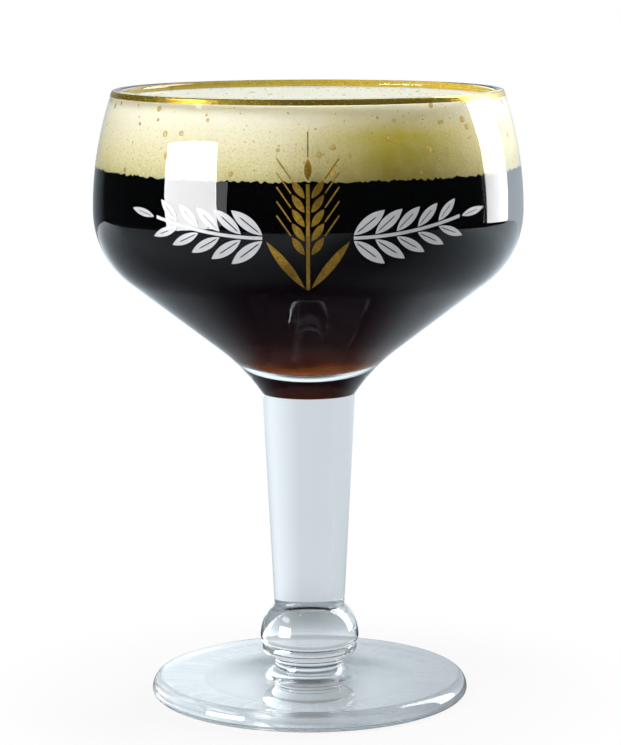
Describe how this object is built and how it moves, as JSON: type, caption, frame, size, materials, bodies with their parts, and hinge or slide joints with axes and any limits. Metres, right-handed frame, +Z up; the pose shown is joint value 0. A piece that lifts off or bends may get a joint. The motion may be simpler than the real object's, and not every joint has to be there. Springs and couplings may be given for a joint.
{
  "type": "chalice beer glass",
  "caption": "Stemmed glass chalice with a gilded lip, a knop and a round foot, filled with dark beer under a head of foam.",
  "frame": {"origin": "centre of the foot's underside, on the surface that the glass stands on", "axes": "+Z up along the stem, the decorated front facing -Y"},
  "size_m": [0.1116, 0.1117, 0.1602],
  "materials": {
    "clear_glass": "polished",
    "fired_gold": "polished",
    "white_enamel": "gloss",
    "dark_beer": "gloss",
    "beer_foam": "matte"
  },
  "bodies": {
    "root": {"foot": "clear_glass", "ring": "clear_glass", "knop": "clear_glass", "stem": "clear_glass", "bowl": "clear_glass", "rim_gilding": "fired_gold", "ear_gilding": "fired_gold", "leaf_enamel": "white_enamel", "beer": "dark_beer", "foam_head": "beer_foam"}
  },
  "joints": []
}
